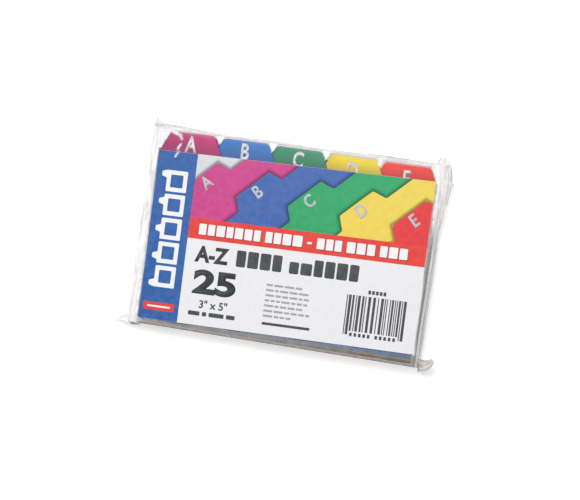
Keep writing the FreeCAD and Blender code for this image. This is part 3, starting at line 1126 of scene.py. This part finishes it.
# Each ear of gathered film, in millimetres: its middle line from inside the wrap to its tip, its half widths along
# that line, how deep its pleats are at the root, how many there are and how grey its painted shade makes it.
EARS = {
    "film_ear_head_left": {
        "line": [(-65.6, 46.6, 7.2), (-67.4, 49.4, 7.0), (-68.6, 51.6, 6.8), (-69.3, 53.6, 6.6)],
        "wide": [4.0, 2.7, 1.4, 0.25],
        "pleat": 0.55,
        "pleats": 5,
        "grey": 0.03,
    },
    "film_ear_head_right": {
        "line": [(65.0, 45.0, 7.6), (64.5, 48.2, 7.4), (63.6, 51.2, 7.0), (63.2, 53.4, 6.6)],
        "wide": [1.8, 3.0, 3.2, 1.2],
        "pleat": 0.9,
        "pleats": 5,
        "grey": 0.0,
    },
    "film_ear_foot_left": {
        "line": [
            *((-62.6, -40.3, 6.2), (-66.4, -40.6, 6.3), (-69.0, -39.2, 6.4)),
            *((-71.6, -39.6, 6.5), (-74.4, -40.4, 6.5)),
        ],
        "wide": [0.25, 0.75, 2.5, 1.6, 0.25],
        "pleat": 0.35,
        "pleats": 3,
        "grey": 0.0,
    },
    "film_ear_foot_right": {
        "line": [(65.8, -38.8, 6.2), (67.7, -38.9, 6.6), (69.9, -37.9, 6.9), (72.1, -35.6, 7.3)],
        "wide": [2.9, 3.1, 2.3, 0.9],
        "pleat": 0.3,
        "pleats": 6,
        "grey": 0.34,
    },
}


def gather_ear(name, ear, seed, material):
    """One ear: a sheet of film drawn together in pleats that fan out from the corner and narrow to its tip."""
    film = settings("film")
    rows, columns = 30, 44
    line = curve_points(ear["line"], rows + 1)
    widths = [wide.x for wide in curve_points([(wide, 0, 0) for wide in ear["wide"]], rows + 1)]
    bm, ordered, haze, stretch, lay = film_sheet(columns, rows)
    for index, vertex in enumerate(ordered):
        row, across = index // (columns + 1), index % (columns + 1) / columns * 2 - 1
        ahead = (line[min(rows, row + 1)] - line[max(0, row - 1)]).normalized()
        side = ahead.cross(Vector((0, 0, 1))).normalized()
        on = row / rows
        deep = ear["pleat"] * MM * (1.0 - 0.7 * on) * (0.4 + 0.6 * min(1.0, on * 4))
        wander = 1.3 * noise.noise(Vector((across * 2, on * 2, seed)))
        fold = math.sin(across * math.pi * ear["pleats"] / 2 + wander + seed)
        fold += 0.8 * noise.noise(Vector((across * 5.0, on * 3.0, seed + 4.0)))
        ragged = 1.0 + 0.10 * noise.noise(Vector((on * 9.0, 2.0 * (across > 0), seed)))
        vertex.co = line[row] + side * widths[row] * across * ragged + Vector((0, 0, deep * fold))
        vertex[haze] = film.ear_haze * swell(on, -0.15, 0.2)
        # Painted shade: the ear's grey, deepened in the troughs of its pleats.
        vertex[stretch] = ear["grey"] + (0.05 + 0.6 * ear["grey"]) * swell(-fold, 0.0, 1.4)
        vertex[lay] = Vector((across * 3.0 * MM, on * 1.5 * MM, seed))
    piece = mesh_object(name, bm, material)
    add_thickness(piece, film.thickness * 2)
    return piece


class GUIDEPACK_OT_film_ears(bpy.types.Operator):
    """Gather the spare film into an ear at each corner"""

    bl_idname = "guidepack.film_ears"
    bl_label = "Gather the Ears"

    def execute(self, context):
        material = film_material("film_gathered")
        joints = {joint["child"]: joint for joint in frame["joints"]}
        for seed, (node, ear) in enumerate(EARS.items()):
            piece = gather_ear(node.replace("film_", "") + "_gathered", ear, seed * 1.7, material)
            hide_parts(node)
            hinge, axis = Vector(joints[node]["pos_m"]), Vector(joints[node]["axis"])
            outward = axis.cross(Vector((0, 0, 1))).normalized()
            if outward.dot(hinge) < 0:
                outward.negate()
            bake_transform(piece)
        return {"FINISHED"}


def weld_strip(path, wide, deep):
    """A flat closed strip drawn along a path, in metres."""
    bm = bmesh.new()
    haze = bm.verts.layers.float.new("haze")
    lay = bm.verts.layers.float_vector.new("lay")
    bm.verts.layers.float.new("stretch")
    ring = bmesh.ops.create_circle(bm, cap_ends=True, segments=10, radius=1.0)["verts"]
    ahead = (path[1] - path[0]).normalized()
    side = ahead.cross(Vector((0, 0, 1))).normalized()
    start = Matrix((side * wide, Vector((0, 0, deep)), ahead)).transposed().to_4x4()
    bmesh.ops.transform(bm, matrix=Matrix.Translation(path[0]) @ start, verts=ring)
    face = bm.faces[:]
    for last, place in zip(path, path[1:]):
        grown = bmesh.ops.extrude_face_region(bm, geom=face)["geom"]
        if last is not path[0]:
            bmesh.ops.delete(bm, geom=face, context="FACES_ONLY")
        face = [item for item in grown if isinstance(item, bmesh.types.BMFace)]
        moved = [item for item in grown if isinstance(item, bmesh.types.BMVert)]
        bmesh.ops.translate(bm, verts=moved, vec=place - last)
    for vertex in bm.verts:
        vertex[haze] = 0.6
        vertex[lay] = Vector((vertex.co.x * 0.12, vertex.co.y * 0.12, vertex.co.z))
    bmesh.ops.recalc_face_normals(bm, faces=bm.faces[:])
    for item in bm.faces:
        item.smooth = True
    return bm


class GUIDEPACK_OT_film_seams(bpy.types.Operator):
    """Weld the sealed strips along the left, the right and the head"""

    bl_idname = "guidepack.film_seams"
    bl_label = "Weld the Seams"

    def execute(self, context):
        material = film_material("film_welded")
        wide, deep, count = 0.28 * MM, 0.12 * MM, 70
        for side in ("left", "right", "head"):
            node = "film_seam_" + side
            low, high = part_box(node)
            path = []
            for step in range(count):
                place = low + (high - low) * (step / (count - 1))
                place.z = (low.z + high.z) / 2
                if side == "head":
                    place.y = reach(HEAD_EDGE, place.x) - wide
                elif side == "left":
                    place.x = wide - reach(LEFT_EDGE, place.y)
                else:
                    place.x = reach(RIGHT_EDGE, place.y) - wide
                path.append(place)
            strip = weld_strip(path, wide, deep)
            piece = finish_piece(node.replace("film_", "") + "_weld", strip, material, "wrap")
            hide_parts(node)
        return {"FINISHED"}


# ---------------------------------------------------------------- stage


def aim(thing, place, target, roll=0.0):
    """Points a camera or a lamp from a place at a target, with the pack's head up."""
    back = (place - target).normalized()
    right = Vector((0.0, 1.0, 0.0)).cross(back).normalized()
    turned = Matrix((right, back.cross(right), back)).transposed().to_4x4()
    thing.matrix_world = Matrix.Translation(place) @ turned @ Matrix.Rotation(roll, 4, "Z")


def add_lamp(name, place, target, size, power):
    """A large square soft lamp."""
    light = bpy.data.lights.new(name, "AREA")
    light.shape = "SQUARE"
    light.size = size
    light.energy = power
    lamp = bpy.data.objects.new(name, light)
    bpy.context.scene.collection.objects.link(lamp)
    aim(lamp, place, target)


class GUIDEPACK_OT_stage(bpy.types.Operator):
    """Set out the floor, the soft lights and the camera"""

    bl_idname = "guidepack.stage"
    bl_label = "Set the Stage"

    def execute(self, context):
        stage = settings("stage")
        scene = context.scene
        scene.view_settings.view_transform = "Standard"
        target = Vector((stage.aim_x, stage.aim_y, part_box("film_front_leaf")[0].z))
        bm = bmesh.new()
        bmesh.ops.create_grid(bm, x_segments=1, y_segments=1, size=3.0)
        bmesh.ops.translate(bm, verts=bm.verts[:], vec=(0, 0, -0.05 * MM))
        paper, shader = new_material("floor_paper", stage.floor, 0.8, specular=0.2)
        shader.inputs["Emission Color"].default_value = (1.0, 1.0, 1.0, 1.0)
        shader.inputs["Emission Strength"].default_value = stage.floor_glow
        mesh_object("floor", bm, paper)
        world = bpy.data.worlds.new("studio")
        world.use_nodes = True
        world.node_tree.nodes["Background"].inputs["Color"].default_value = (1.0, 1.0, 1.0, 1.0)
        world.node_tree.nodes["Background"].inputs["Strength"].default_value = stage.sky
        scene.world = world
        add_lamp("key", Vector((-0.16, 0.36, 1.1)), target, 0.5, stage.key)
        add_lamp("fill", Vector((0.1, -0.1, 1.4)), target, 1.2, stage.fill)
        camera = bpy.data.objects.new("camera", bpy.data.cameras.new("camera"))
        scene.collection.objects.link(camera)
        camera.data.sensor_width = 36.0
        camera.data.lens = stage.lens
        camera.data.clip_start = 0.01
        direction = Vector((math.tan(stage.lean_right), math.tan(stage.lean_head), 1.0)).normalized()
        aim(camera, target + direction * stage.distance, target, stage.roll)
        scene.camera = camera
        return {"FINISHED"}


# ---------------------------------------------------------------- panel and running


OPERATORS = (
    GUIDEPACK_OT_guides,
    GUIDEPACK_OT_letters,
    GUIDEPACK_OT_label_panels,
    GUIDEPACK_OT_label_picture,
    GUIDEPACK_OT_label_signs,
    GUIDEPACK_OT_film_leaves,
    GUIDEPACK_OT_film_seams,
    GUIDEPACK_OT_film_ears,
    GUIDEPACK_OT_stage,
)
GROUPS = {"guides": GuideSettings, "label": LabelSettings, "film": FilmSettings, "stage": StageSettings}


class GUIDEPACK_PT_panel(bpy.types.Panel):
    """Lists the steps that make the pack"""

    bl_idname = "GUIDEPACK_PT_panel"
    bl_label = "Guide Pack"
    bl_space_type = "VIEW_3D"
    bl_region_type = "UI"
    bl_category = "Guide Pack"

    def draw(self, context):
        for operator in OPERATORS:
            self.layout.operator(operator.bl_idname)


def register():
    for group in GROUPS.values():
        bpy.utils.register_class(group)
    for name, group in GROUPS.items():
        setattr(bpy.types.Scene, "guide_pack_" + name, bpy.props.PointerProperty(type=group))
    for item in (*OPERATORS, GUIDEPACK_PT_panel):
        bpy.utils.register_class(item)


def unregister():
    for item in reversed((*OPERATORS, GUIDEPACK_PT_panel)):
        bpy.utils.unregister_class(item)
    for name in GROUPS:
        delattr(bpy.types.Scene, "guide_pack_" + name)
    for group in reversed(GROUPS.values()):
        bpy.utils.unregister_class(group)


def main():
    register()
    for operator in OPERATORS:
        category, name = operator.bl_idname.split(".")
        getattr(getattr(bpy.ops, category), name)()


if __name__ == "__main__":
    main()
